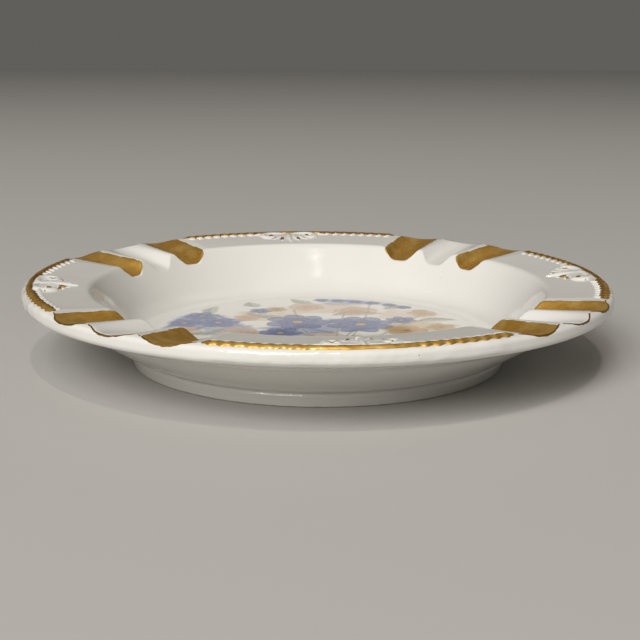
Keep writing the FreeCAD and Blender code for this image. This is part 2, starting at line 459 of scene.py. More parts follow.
def make_gilding():
    """Fired gold with fine marks, drawn out along the brush attribute."""
    n = Nodes("brushed_gilding", GOLD_IOR)
    marks = n.noise(1.0, 4.0, 0.6, n.attribute("brush", "Vector"))
    cloud = n.noise(160.0, 4.0, 0.6)
    grain = n.noise(1800.0, 2.0, 0.6)
    thin = n.attribute("thin")
    wear = n.math("GREATER_THAN", n.math("ADD", thin, n.ramp(grain, 0.3, 0.7, 0.0, 0.5)), WORN_AT)
    colour = n.blend(wear, gold_colour(n, marks, cloud), GLAZE)
    rough = n.ramp(marks, 0.3, 0.7, 0.52, 0.40)
    metal = n.mix(wear, GOLD_METAL, 0.0)
    normal = n.bump(marks, 0.35, 0.00012)
    normal = n.bump(grain, 0.25, 0.00005, normal)
    return n.finish(colour, rough, normal, metal)


def make_gilded_relief():
    """Glazed relief with gold dabs where the gilt attribute says."""
    n = Nodes("gilded_relief")
    grain = n.noise(900.0, 3.0, 0.6)
    amount = n.math("ADD", n.attribute("gilt"), n.ramp(grain, 0.3, 0.7, -0.22, 0.22))
    is_gold = n.ramp(amount, 0.46, 0.54)
    cloud = n.noise(260.0, 4.0, 0.6)
    colour = n.blend(is_gold, glaze_colour(n), gold_colour(n, grain, cloud))
    rough = n.mix(is_gold, glaze_rough(n), 0.40)
    return n.finish(colour, rough, glaze_normal(n), is_gold)


def make_print_material():
    """The fired print: colours stored on the mesh, satin rather than glossy."""
    n = Nodes("printed_colours")
    n.shader.inputs["Specular IOR Level"].default_value = PRINT_SPECULAR
    ink = n.attribute("ink", "Color")
    cover = n.attribute("cover")
    grain = n.ramp(n.noise(1300.0, 3.0, 0.7), 0.3, 0.7, 0.82, 1.0)
    colour = n.blend(n.math("MULTIPLY", cover, grain), glaze_colour(n), ink)
    return n.finish(colour, glaze_rough(n), glaze_normal(n))


def make_foot_material():
    """Glaze down to the resting edge, which is wiped to bare clay."""
    n = Nodes("foot_glaze_and_clay")
    bare = n.math("ADD", n.attribute("bare"), n.ramp(n.noise(420.0, 3.0), 0.3, 0.7, -0.2, 0.2))
    bare = n.ramp(bare, 0.45, 0.55)
    clay = n.blend(n.ramp(n.noise(700.0, 4.0, 0.7), 0.35, 0.65), BISCUIT, BISCUIT_DARK)
    colour = n.blend(bare, glaze_colour(n), clay)
    rough = n.mix(bare, glaze_rough(n), CLAY_ROUGH)
    grit = n.bump(n.noise(2400.0, 2.0), 0.4, 0.00008)
    return n.finish(colour, rough, grit)


PORCELAIN = make_porcelain()
GILDING = make_gilding()
RELIEF = make_gilded_relief()
PRINT = make_print_material()
FOOT = make_foot_material()


# ---- the body ----
GROUP_SPARE = 3.0  # degrees of close columns past a group
CENTRE_GAP = 0.5  # radius of the fan of triangles in the middle
WALL_MARGIN = 8.0  # from there outward the floor's rows lie closer
LUMP_FADE = 1.2  # length over which the lumps set in
LUMP_FADE_ANGLE = 4.0


def body_directions():
    """Column directions, closer together in the fluted groups."""
    rows = []
    half_group = 1.5 * FLUTE_PITCH + GROUP_SPARE
    for group in sorted(GROUP_ANGLES.values()):
        rows.append(np.linspace(group - half_group, group + half_group, 121)[:-1])
        rows.append(np.linspace(group + half_group, group + 90.0 - half_group, 41)[:-1])
    return np.concatenate(rows)[:, None]


def body_runs(cols):
    """Rows along each section, closer together at its corners."""
    eased = (1 - np.cos(np.linspace(0, math.pi, 34))) / 2
    floor_end = np.interp(FLOOR_R - WALL_MARGIN, SECTION[:BULGE, 0], cols["run"][0][:BULGE])
    crease = int(np.argmin(np.hypot(SECTION[:, 0] - CREASE_R, SECTION[:, 1] - CREASE_Z)))
    recess = int(np.argmin(np.hypot(SECTION[:, 0] - RECESS_R, SECTION[:, 1] - RECESS_Z)))
    out = []
    for c in range(len(cols["run"])):
        run = cols["run"][c]
        inner, edge, bulge = cols["inner"][c], cols["edge"][c], cols["bulge"][c]
        stretches = [
            np.linspace(CENTRE_GAP, floor_end, 7)[:-1],
            floor_end + (inner - floor_end) * (1 - (1 - np.linspace(0, 1, 26)) ** 1.5)[:-1],
            inner + (edge - inner) * eased[:-1],
            edge + (bulge - edge) * np.linspace(0, 1, 13)[:-1],
            bulge + (run[crease] - bulge) * (np.linspace(0, 1, 34) ** 1.3)[:-1],
            np.linspace(run[crease], run[recess], 4)[:-1],
            np.linspace(run[recess], run[-1] - CENTRE_GAP, 4),
        ]
        out.append(np.concatenate(stretches))
    return np.array(out)


def make_body():
    """The porcelain from the well floor over the lip to the underside."""
    cols = columns(body_directions())
    points = points_at(cols, body_runs(cols))
    count, rows = points.shape[:2]
    vertices = points.reshape(-1, 3)
    faces = []
    for c in range(count):
        d = (c + 1) % count
        for k in range(rows - 1):
            faces.append((c * rows + k, c * rows + k + 1, d * rows + k + 1, d * rows + k))
    top = len(vertices)
    vertices = np.concatenate([vertices, [[0, 0, FLOOR_Z], [0, 0, RECESS_Z]]])
    for c in range(count):
        d = (c + 1) % count
        faces.append((top, c * rows, d * rows))
        faces.append((top + 1, d * rows + rows - 1, c * rows + rows - 1))
    piece = mesh_object("porcelain_body", vertices, faces)
    r = np.hypot(vertices[:, 0], vertices[:, 1])
    turn = np.degrees(np.arctan2(vertices[:, 1], vertices[:, 0]))
    from_panel = np.abs((turn + 45.0) % 90.0 - 45.0)
    on_lip = np.clip((r - EDGE_R) / LUMP_FADE, 0, 1)
    on_lip = on_lip * np.clip((vertices[:, 2] - LIP_BOTTOM_Z) / LUMP_FADE, 0, 1)
    paint(piece, "pooled", on_lip * np.clip((PANEL_HALF - from_panel) / LUMP_FADE_ANGLE, 0, 1))
    return place(piece, PORCELAIN, ["plate_body"])


FOOT_STEP = 1.5  # degrees between the foot ring's columns
BARE_HEIGHT = 0.5  # how far up the foot the bare clay reaches


def make_foot():
    """The turned foot ring, with a bare resting edge."""
    path = rounded_path([
        (CREASE_R - 1.2, CREASE_Z - 0.1, 0),
        (CREASE_R - 0.02, CREASE_Z - 0.05, 0),
        (FOOT_NECK_R, FOOT_NECK_Z, 0.5),
        (FOOT_SWELL_R, FOOT_SWELL_Z, 0.4),
        (FOOT_OUTER_R, 0, 0.5),
        (FOOT_INNER_R, 0, 0.7),
        (RECESS_R, RECESS_Z + 0.2, 0),
    ])
    path = path[::2]
    turns = np.radians(np.arange(0, 360, FOOT_STEP))
    vertices = np.array([[r * math.cos(t), r * math.sin(t), max(z, 0)]
                         for t in turns for r, z in path])
    count, rows = len(turns), len(path)
    faces = []
    for c in range(count):
        d = (c + 1) % count
        for k in range(rows):
            m = (k + 1) % rows
            faces.append((c * rows + k, c * rows + m, d * rows + m, d * rows + k))
    piece = mesh_object("turned_foot", vertices, faces)
    paint(piece, "bare", np.clip(1.2 - vertices[:, 2] / BARE_HEIGHT, 0, 1))
    return place(piece, FOOT, ["foot_ring"])


# ---- the gold ----
BRUSH_ALONG = 0.35  # marks per millimetre along the stroke
BRUSH_ACROSS = 3.2
EDGE_DEGREE = 1.6  # length of one degree at the edge
LINING_END = 3.8  # length of the rounded end
LINING_INNER = 0.92  # share of the flute covered at the cavetto
LINING_OUTER = 0.84  # and at the lip
LINING_TIP = 0.5
LINING_OVERHANG = 0.4  # how far a lining laps over the rim's edge
# How far gold rises over its border, and how far under the glaze its border
# and its hidden back lie.
LINING_RISE, LINING_DIP, LINING_BED = 0.07, 0.02, 0.12
RIBBON_RISE, RIBBON_DIP, RIBBON_BED = 0.09, 0.03, 0.15
EDGE_LINE_WIDTH = 0.72
EDGE_LINE_SHARE = 0.985  # of a flute's width
EDGE_LINE_PAINTED_SHADE = 0.75  # painted shade: how much darker brown the line is painted, for the dark room it reflects
BAND_END = 0.4  # angle kept clear beside the flutes
BAND_INNER = 0.75  # reach inward of the edge
BAND_OUTER = 1.25
BAND_ROLL = 0.5
BAND_PAINTED_SHADE = 0.6  # painted shade: how much darker brown its inner side is painted


def brush_layer(piece, along, across):
    """Coordinates that stretch the brush marks along the stroke."""
    attribute = piece.data.attributes.new("brush", "FLOAT_VECTOR", "POINT")
    values = np.stack([along * BRUSH_ALONG, across * BRUSH_ACROSS, np.zeros_like(along)], 1)
    attribute.data.foreach_set("vector", values.astype(np.float32).ravel())


def border_taper(rows, cols, rate):
    """0 at the border of a grid, 1 from rate cells in."""
    i = np.minimum(np.arange(rows), np.arange(rows)[::-1])[:, None]
    j = np.minimum(np.arange(cols), np.arange(cols)[::-1])[None, :]
    return np.clip(np.minimum(i, j) / rate, 0, 1)


def lining_half_angle(r, tip_r):
    """Half the angle that a lining covers: a rounded end, then nearly even."""
    past = np.clip((r - tip_r) / LINING_END, 0, 1)
    share = LINING_INNER + (LINING_OUTER - LINING_INNER) * (r - CAVETTO_R) / (EDGE_R - CAVETTO_R)
    return FLUTE_PITCH / 2 * share * np.sqrt(np.maximum(1 - (1 - past) ** 2.6, 0))


def make_lining(name, middle, seed):
    """The gold in one flute: a thin layer with a hand-brushed border."""
    across = np.linspace(-1, 1, 49)
    r = SECTION[:, 0]
    middle_column = columns(np.array([[middle]]))
    tip_r = np.interp(middle_column["inner"][0], middle_column["run"][0], r) + LINING_TIP
    half = lining_half_angle(r, tip_r)
    rows = []
    for share in across:
        wander = 1 + 0.03 * ripple(r * 0.7 + share * 3, seed)
        rows.append(middle + share * wander * half)
    cols = columns(np.array(rows))
    shares = np.linspace(0, 1, 84)
    start = np.array([np.interp(tip_r + 0.05, r[:BULGE], run[:BULGE]) for run in cols["run"]])
    end = cols["edge"] + LINING_OVERHANG
    runs = start[:, None] + (end - start)[:, None] * (shares ** 1.25)[None, :]
    taper = border_taper(len(across), len(shares), 1.5)
    top = points_at(cols, runs, LINING_RISE * taper - LINING_DIP)
    bottom = points_at(cols, runs, -LINING_BED)
    piece = shell(name, top, bottom)
    width = across[:, None] * half[np.searchsorted(r[:BULGE], tip_r + 9)] * 1.4 * np.ones_like(runs)
    length = runs - runs[:, :1] + seed * 40
    brush_layer(piece, both(length), both(width))
    worn = 1 - border_taper(len(across), 2 * len(shares), 4.0)[:, :len(shares)]
    paint(piece, "thin", both(0.8 * worn))
    return piece


def ribbon(angles, start, width, cells=9, roll=0.0):
    """Top and bottom points of a strip that follows the plate's edge.

    roll is how far the strip swells above the porcelain under it.
    """
    cols = columns(angles[:, None])
    shares = np.linspace(0, 1, cells)
    runs = (cols["edge"] + start)[:, None] + width[:, None] * shares[None, :]
    taper = border_taper(len(angles), cells, 1.5)
    ends = np.clip(np.arange(len(angles)) / 12, 0, 1)
    swell = roll * np.minimum(ends, ends[::-1])[:, None] * np.sin(math.pi * shares ** 0.8)[None, :] ** 0.8
    top = points_at(cols, runs, RIBBON_RISE * taper - RIBBON_DIP + swell)
    return top, points_at(cols, runs, -RIBBON_BED), runs


def make_edge_line(name, group, seed):
    """Thin gold lines along the wavy edge, one in each of the three flutes."""
    pieces = []
    for flute in (-1, 0, 1):
        middle = group + flute * FLUTE_PITCH
        reach = FLUTE_PITCH / 2 * EDGE_LINE_SHARE
        angles = np.linspace(middle - reach, middle + reach, 110)
        u = (angles - middle) / reach
        body = np.sqrt(np.clip(1 - np.abs(u) ** 9, 0.0004, 1))
        wander = ripple(angles * 1.3, seed + flute)
        width = (EDGE_LINE_WIDTH + 0.14 * wander) * body
        start = 0.05 * ripple(angles * 2.0, seed + 2) + 0.3 * (1 - body)
        top, bottom, runs = ribbon(angles, start, width)
        along = np.repeat((angles * EDGE_DEGREE)[:, None], runs.shape[1], 1)
        thin = np.clip(0.2 + 0.35 * ripple(angles * 1.7, seed + 5) + 0.5 * np.abs(u) ** 6, 0, 1)
        pieces.append((top, bottom, along, runs, np.repeat(thin[:, None], runs.shape[1], 1)))
    return joined_shells(name, pieces)


def joined_shells(name, pieces):
    """One object from several thin shells, with their brush and thin layers and an even painted shade."""
    vertices, faces, along, across, thin = [], [], [], [], []
    for top, bottom, piece_along, piece_across, piece_thin in pieces:
        base = sum(len(v) for v in vertices)
        points, quads = shell_parts(top, bottom)
        vertices.append(points)
        faces += [tuple(v + base for v in quad) for quad in quads]
        for store, values in ((along, piece_along), (across, piece_across), (thin, piece_thin)):
            store += [values.ravel(), values.ravel()]
    piece = mesh_object(name, np.concatenate(vertices), faces)
    brush_layer(piece, np.concatenate(along), np.concatenate(across))
    paint(piece, "thin", np.concatenate(thin))
    # painted shade: the whole line is painted darker brown, standing in for the dark surroundings it
    # reflects
    paint(piece, "deep", np.full(len(piece.data.vertices), EDGE_LINE_PAINTED_SHADE))
    return piece


BEADS_PER_SIDE = 8
BEAD_FIRST = 9.8
BEAD_STEP = 2.2
BEAD_R = EDGE_R - 2.2
BEAD_SLANT = 38.0
BEAD_LENGTH = 3.8
BEAD_HALF_WIDTH = 1.0
BEAD_HEIGHT = 0.55
BEAD_SINK = 0.1


def bead_angles():
    """Directions of one panel's beads from the panel's middle, both sides."""
    side = [BEAD_FIRST + i * BEAD_STEP for i in range(BEADS_PER_SIDE)]
    return [-a for a in reversed(side)] + side


def make_band(name, panel, seed):
    """The gold band along a panel's edge. It is scalloped beside the beads, and its inner side is painted
    darker as shade.
    """
    half = PANEL_HALF - BAND_END
    angles = np.linspace(-half, half, 460)
    beaded = 1 / (1 + np.exp(-(np.abs(angles) - BEAD_FIRST + 1.5) / 0.3))
    beaded *= 1 / (1 + np.exp((np.abs(angles) - BEAD_FIRST - (BEADS_PER_SIDE - 0.5) * BEAD_STEP) / 0.25))
    phase = (np.abs(angles) - BEAD_FIRST) / BEAD_STEP * 2 * math.pi
    lobes = 0.5 - 0.5 * np.cos(phase)
    body = np.sqrt(np.clip(1 - (np.abs(angles) / half) ** 60, 0.0004, 1))
    inner = BAND_INNER + beaded * (0.2 + 1.1 * lobes) + 0.16 * ripple(angles * 1.3, seed)
    outer = BAND_OUTER + beaded * (0.2 - 0.5 * lobes) + 0.12 * ripple(angles * 0.9, seed + 3)
    top, bottom, runs = ribbon(panel + angles, -inner * body, (inner + outer) * body, 21, BAND_ROLL)
    piece = shell(name, top, bottom)
    length = np.repeat((angles * EDGE_DEGREE)[:, None], runs.shape[1], 1)
    brush_layer(piece, both(length), both(runs))
    thin = 1 - border_taper(len(angles), runs.shape[1], 3.0)
    paint(piece, "thin", both(thin * 0.6))
    # painted shade: the band's inner side, towards the beads, is painted darker brown as if in shade
    share = np.linspace(0, 1, runs.shape[1])[None, :] + 0.12 * ripple(angles * 2.3, seed + 4)[:, None]
    deep = BAND_PAINTED_SHADE * np.clip((0.55 - share) / 0.22, 0, 1)
    paint(piece, "deep", both(deep))
    return piece


# ---- the relief ----
CREST_R = LIP_R - 9.0
CREST_GRID = 0.2
CREST_REACH = 15.0  # half the width of the crest's grid
CREST_INWARD = 10.4
CREST_OUTWARD = 6.6
CREST_FLATTENING = 0.72
CREST_TOP = 1.5
CREST_SINK = 0.35  # depth of the crest's skirt under the rim
CREST_SKIN = 0.1


def on_rim(a, b, height, panel):
    """Points at a mm across and b mm outward of the panel's crest centre."""
    r0 = CREST_R + b
    turn = np.radians(panel) + a / CREST_R
    z = rim_line(r0) + height
    return np.stack([r0 * np.cos(turn), r0 * np.sin(turn), z], -1)


def curve(points, radii, count=60):
    """A smooth curve through a few points, with a radius at each."""
    points = np.array(points, float)
    radii = np.array(radii, float)
    n = len(points)
    t = np.linspace(0, n - 1, count)
    out = []
    for value in t:
        i = min(int(value), n - 2)
        u = value - i
        p0 = points[max(i - 1, 0)]
        p1, p2 = points[i], points[i + 1]
        p3 = points[min(i + 2, n - 1)]
        c = 0.5 * (2 * p1 + (p2 - p0) * u + (2 * p0 - 5 * p1 + 4 * p2 - p3) * u * u
                   + (3 * p1 - p0 - 3 * p2 + p3) * u ** 3)
        out.append((c[0], c[1], radii[i] * (1 - u) + radii[i + 1] * u))
    return np.array(out)


def tube_height(a, b, path, rise):
    """Height of a rounded moulding of varying radius along a path."""
    best = np.full(a.shape, -1.0)
    for x, y, rho in path:
        d2 = (a - x) ** 2 + (b - y) ** 2
        best = np.maximum(best, rise * rho * (1 - d2 / rho ** 2))
    return best


def leaf_height(a, b, tail, tip, half_width, rise):
    """A pointed leaf from tail to tip, highest along its middle."""
    tail, tip = np.array(tail, float), np.array(tip, float)
    length = np.linalg.norm(tip - tail)
    along = (tip - tail) / length
    u = ((a - tail[0]) * along[0] + (b - tail[1]) * along[1]) / length
    v = (a - tail[0]) * -along[1] + (b - tail[1]) * along[0]
    shape = np.sin(math.pi * np.clip(u, 0.001, 0.999) ** 0.8)
    width = half_width * shape ** 0.7 + 0.15
    height = rise * (0.35 + 0.65 * shape) * (1 - (v / width) ** 2)
    return np.where((u > 0) & (u < 1), np.maximum(height, -1), -1)


def melt(heights, softness=0.16):
    """The highest of several forms, flowed together as under a thick glaze."""
    total = sum(np.exp(h / softness) for h in heights)
    return softness * np.log(total)


def crest_relief(a, b):
    """Heights of the crest, and how much gold lies on each point."""
    side = np.abs(a)
    ground = 0.5 * (1 - (side / 9.0) ** 2 - ((b - 1.0) / 4.4) ** 2)
    spine = [(1.6, 3.8), (4.6, 4.7), (8.0, 4.0), (9.9, 1.5), (8.9, -1.1), (6.7, -1.0), (6.3, 0.9)]
    scroll = curve(spine, [0.9, 1.2, 1.5, 1.6, 1.4, 1.2, 1.0])
    tail = curve([(9.5, 3.0), (11.8, 3.5), (14.2, 2.9)], [1.1, 0.9, 0.4])
    heights = [
        np.maximum(ground, -1),
        tube_height(side, b, scroll, 0.72),
        tube_height(side, b, tail, 0.7),
        tube_height(side, b, np.array([[6.9, 0.9, 1.35]]), 0.75),
        leaf_height(a, b, (0, 5.2), (0, -8.8), 1.15, 1.15),
        leaf_height(side, b, (0.9, 2.6), (3.6, -6.2), 1.55, 0.85),
        leaf_height(side, b, (2.6, 0.6), (7.2, -4.4), 1.25, 0.7),
    ]
    gilt = np.zeros(a.shape)
    dabs = (
        (7.3, 0.4, 1.2, 0.9), (3.4, -4.0, 0.8, 1.5), (6.9, -3.0, 1.5, 0.5),
        (12.4, 1.9, 1.3, 0.5), (5.6, 5.7, 2.2, 0.4),
    )
    for x, y, wide, tall in dabs:
        reach = np.hypot((side - x) / wide, (b - y) / tall)
        gilt = np.maximum(gilt, 1.05 - reach * 0.55)
    return CREST_FLATTENING * melt(heights), np.clip(gilt, 0, 1)


def make_crest(name, panel):
    """A relief crest whose skirt runs a little way into the rim below it."""
    a_line = np.arange(-CREST_REACH, CREST_REACH + 1e-6, CREST_GRID)
    b_line = np.arange(-CREST_INWARD, CREST_OUTWARD + 1e-6, CREST_GRID)
    a, b = np.meshgrid(a_line, b_line, indexing="ij")
    height, gilt = crest_relief(a, b)
    height = np.minimum(height, CREST_TOP)
    shown = height > -CREST_SINK
    keep = shown[:-1, :-1] | shown[1:, :-1] | shown[:-1, 1:] | shown[1:, 1:]
    top = on_rim(a, b, np.where(shown, height, -CREST_SINK), panel)
    bottom = on_rim(a, b, np.full(a.shape, -CREST_SINK - CREST_SKIN), panel)
    return cut_shell(name, top, bottom, keep, gilt)


def cut_shell(name, top, bottom, keep, gilt):
    """A closed shell over the kept cells of a grid."""
    rows, cols = top.shape[:2]
    count = rows * cols
    faces = []
    edges = {}
    for i, j in zip(*np.nonzero(keep)):
        quad = (i * cols + j, (i + 1) * cols + j, (i + 1) * cols + j + 1, i * cols + j + 1)
        faces.append(quad)
        faces.append(tuple(v + count for v in reversed(quad)))
        for k in range(4):
            pair = (quad[k], quad[(k + 1) % 4])
            if (pair[1], pair[0]) in edges:
                del edges[(pair[1], pair[0])]
            else:
                edges[pair] = True
    for p, q in edges:
        faces.append((q, p, p + count, q + count))
    vertices = np.concatenate([top.reshape(-1, 3), bottom.reshape(-1, 3)])
    used = sorted({v for face in faces for v in face})
    index = {v: k for k, v in enumerate(used)}
    faces = [tuple(index[v] for v in face) for face in faces]
    piece = mesh_object(name, vertices[used], faces)
    paint(piece, "gilt", both(gilt)[used])
    return piece


def make_beads(name, panel):
    """A row of slanted, comma-shaped beads along the panel's edge."""
    vertices, faces, gilt = [], [], []
    around, along = 24, 18
    slant = math.radians(BEAD_SLANT)
    for angle in bead_angles():
        side = 1 if angle > 0 else -1
        base = len(vertices)
        for i in range(along + 1):
            t = i / along
            swell = math.sin(math.pi * min(max(t, 0.004), 0.996)) ** 0.55 * (1.15 - 0.38 * t)
            bend = 0.35 * math.sin(math.pi * t)
            for j in range(around):
                w = 2 * math.pi * j / around
                x = (t - 0.5) * BEAD_LENGTH
                y = BEAD_HALF_WIDTH * swell * math.cos(w) + bend
                z = BEAD_HEIGHT * swell * math.sin(w)
                out = x * math.cos(slant) - y * math.sin(slant)
                across = x * math.sin(slant) + y * math.cos(slant)
                r = BEAD_R + out
                turn = math.radians(panel + angle) + side * across / BEAD_R
                height = rim_line(min(r, EDGE_R)) + z - BEAD_SINK
                vertices.append((r * math.cos(turn), r * math.sin(turn), height))
                gilt.append(0.56 - 0.85 * max(z, 0) / BEAD_HEIGHT)
        quads = tube_faces(along + 1, around, base)
        faces += quads if side < 0 else [quad[::-1] for quad in quads]
        first = tuple(base + j for j in range(around))
        last = tuple(base + along * around + j for j in range(around))
        faces.append(first if side < 0 else first[::-1])
        faces.append(last[::-1] if side < 0 else last)
    piece = mesh_object(name, vertices, faces)
    paint(piece, "gilt", np.clip(gilt, 0, 1))
    return piece


# ---- the print ----
INK_BLUE = (0.11, 0.155, 0.36)
INK_DEEP = (0.035, 0.06, 0.20)
INK_PEACH = (0.62, 0.42, 0.26)
INK_ROSE = (0.46, 0.24, 0.13)
INK_OCHRE = (0.56, 0.36, 0.11)
INK_LEAF = (0.22, 0.25, 0.19)
INK_SEPIA = (0.20, 0.13, 0.08)
# Petals, their shade, and the heart of the bloom.
BLUE = (INK_BLUE, INK_DEEP, INK_OCHRE)
PEACH = (INK_PEACH, INK_ROSE, INK_OCHRE)
OCHRE = (INK_OCHRE, INK_ROSE, INK_SEPIA)
BROWN = (INK_OCHRE, INK_SEPIA, INK_SEPIA)
FULL_BLOOM = 10.0  # larger ones have a third layer of petals


class Picture:
    """Thin washes of ceramic colour laid over each other on the well floor."""

    def __init__(self, x, y):
        self.x, self.y = x, y
        self.ink = np.tile(INK_BLUE, (len(x), 1))
        self.cover = np.zeros(len(x))

    def wash(self, colour, amount):
        """Lay a thin colour over what is there."""
        amount = np.clip(amount, 0, 1)
        total = amount + self.cover * (1 - amount)
        share = np.where(total > 0, amount / np.maximum(total, 1e-6), 0)[:, None]
        self.ink = self.ink * (1 - share) + np.asarray(colour) * share
        self.cover = total

    def haze(self, centre, wide, tall, colour, amount):
        """A loose watercolour wash with a ragged edge."""
        dx, dy = (self.x - centre[0]) / wide, (self.y - centre[1]) / tall
        angle = np.arctan2(dy, dx)
        ragged = 1 + 0.16 * ripple(angle * 3, centre[0]) + 0.10 * ripple(angle * 9, centre[1])
        mottle = 0.82 + 0.18 * ripple(self.x * 0.45 + 2 * np.sin(self.y * 0.3), wide)
        self.wash(colour, amount * mottle * np.clip((ragged - np.hypot(dx, dy)) / 0.22, 0, 1))

    def flower(self, centre, radius, petals, light, dark, heart, turn, layers):
        """An open bloom: layers of rounded petals, darker at edge and throat."""
        dx, dy = self.x - centre[0], self.y - centre[1]
        r, angle = np.hypot(dx, dy), np.arctan2(dy, dx) + turn
        for layer in range(layers):
            size = radius * (1 - 0.34 * layer)
            shift = layer * math.pi / petals
            lobe = np.abs(np.cos(petals / 2 * (angle + shift)))
            rim = size * (0.70 + 0.30 * lobe ** 0.6 + 0.03 * np.sin(7 * angle + layer))
            inside = np.clip((rim - r) / 0.5, 0, 1)
            edge = np.exp(-((rim - r) / (0.09 * size)) ** 2)
            throat = np.exp(-(r / (0.42 * size)) ** 2)
            fold = np.exp(-(lobe / 0.22) ** 2) * np.clip(r / size, 0, 1)
            tone = np.clip(0.28 + 0.45 * edge + 0.5 * throat + 0.5 * fold, 0, 1)
            streak = 0.5 + 0.5 * np.sin(petals * 5 * angle + 2 * np.sin(r))
            self.wash(light, inside * (0.62 + 0.20 * streak))
            self.wash(dark, inside * tone * 0.75)
        core = np.clip((0.17 * radius - r) / 0.5, 0, 1)
        self.wash(heart, core * 0.9)

    def rose(self, centre, radius, light, dark, turn):
        """A full rose: wrapped petals as a loose spiral of arcs."""
        dx, dy = self.x - centre[0], self.y - centre[1]
        r, angle = np.hypot(dx, dy * 1.08), np.arctan2(dy, dx) + turn
        rim = radius * (0.93 + 0.07 * np.cos(5 * angle + 0.6))
        inside = np.clip((rim - r) / 0.6, 0, 1)
        wrap = r / radius * 3.4 + angle / (2 * math.pi) * 1.0 + 0.16 * np.sin(3 * angle)
        saw = wrap - np.floor(wrap)
        petal_edge = np.exp(-((saw - 0.95) / 0.10) ** 2) + np.exp(-((saw + 0.05) / 0.10) ** 2)
        depth = np.clip(1 - r / radius, 0, 1)
        self.wash(light, inside * (0.62 - 0.30 * saw * (1 - depth)))
        self.wash(dark, inside * np.clip(0.75 * petal_edge + 0.55 * depth ** 1.5 + 0.12, 0, 1) * 0.8)

    def leaf(self, base, tip, half_width, colour, vein):
        """A curved leaf with a rib and side veins."""
        base, tip = np.array(base, float), np.array(tip, float)
        length = np.linalg.norm(tip - base)
        d = (tip - base) / length
        u = ((self.x - base[0]) * d[0] + (self.y - base[1]) * d[1]) / length
        v = -(self.x - base[0]) * d[1] + (self.y - base[1]) * d[0]
        v = v - 0.12 * length * np.sin(math.pi * np.clip(u, 0, 1))
        uc = np.clip(u, 0.001, 0.999)
        width = half_width * np.sin(math.pi * uc ** 0.8) * (1 + 0.07 * np.sin(uc * 40))
        inside = np.clip((width - np.abs(v)) / 0.35, 0, 1) * (u > 0) * (u < 1)
        rib = np.exp(-(v / 0.28) ** 2)
        side = np.exp(-((((uc * length - np.abs(v) * 1.1) % 2.6) - 1.3) / 0.3) ** 2) * 0.5
        half = 0.5 + 0.5 * np.sign(v)
        self.wash(colour, inside * (0.50 + 0.22 * half))
        self.wash(vein, inside * np.clip(rib + side * 0.6, 0, 1) * 0.55)

    def stem(self, points, width, colour):
        """A tapering line through a few points."""
        path = curve(points, [width] * len(points), 90)
        nearest = np.full(len(self.x), 1e9)
        for px, py, _ in path:
            nearest = np.minimum(nearest, np.hypot(self.x - px, self.y - py))
        self.wash(colour, np.clip((width - nearest) / 0.3, 0, 1) * 0.75)


